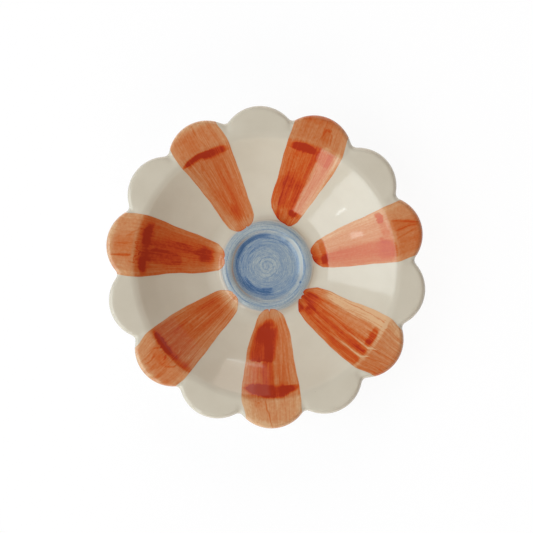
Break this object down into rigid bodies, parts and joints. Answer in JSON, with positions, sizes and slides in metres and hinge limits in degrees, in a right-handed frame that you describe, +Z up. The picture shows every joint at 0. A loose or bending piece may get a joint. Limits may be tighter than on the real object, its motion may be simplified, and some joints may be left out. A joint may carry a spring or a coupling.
{
  "type": "dipping bowl",
  "caption": "Shallow glazed dipping bowl in the form of an open flower, with a flat lobed lip, brushed orange petals and a raised blue ring round a dished centre.",
  "frame": {"origin": "on the table, under the middle of the bowl", "axes": "+Z up along the bowl's axis; one orange petal points along -Y, to the front"},
  "size_m": [0.1374, 0.14, 0.0326],
  "materials": {
    "cream_glaze": "glossy cream glaze",
    "bare_clay": "bare fired clay",
    "blue_colour": "grey-blue banded colour under a glossy glaze",
    "orange_colour": "brushed orange colour under a glossy glaze"
  },
  "bodies": {
    "root": {"bowl_body": "cream_glaze", "foot_ring": "bare_clay", "blue_centre": "blue_colour", "orange_petal_1": "orange_colour", "orange_petal_2": "orange_colour", "orange_petal_3": "orange_colour", "orange_petal_4": "orange_colour", "orange_petal_5": "orange_colour", "orange_petal_6": "orange_colour", "orange_petal_7": "orange_colour"}
  },
  "joints": []
}
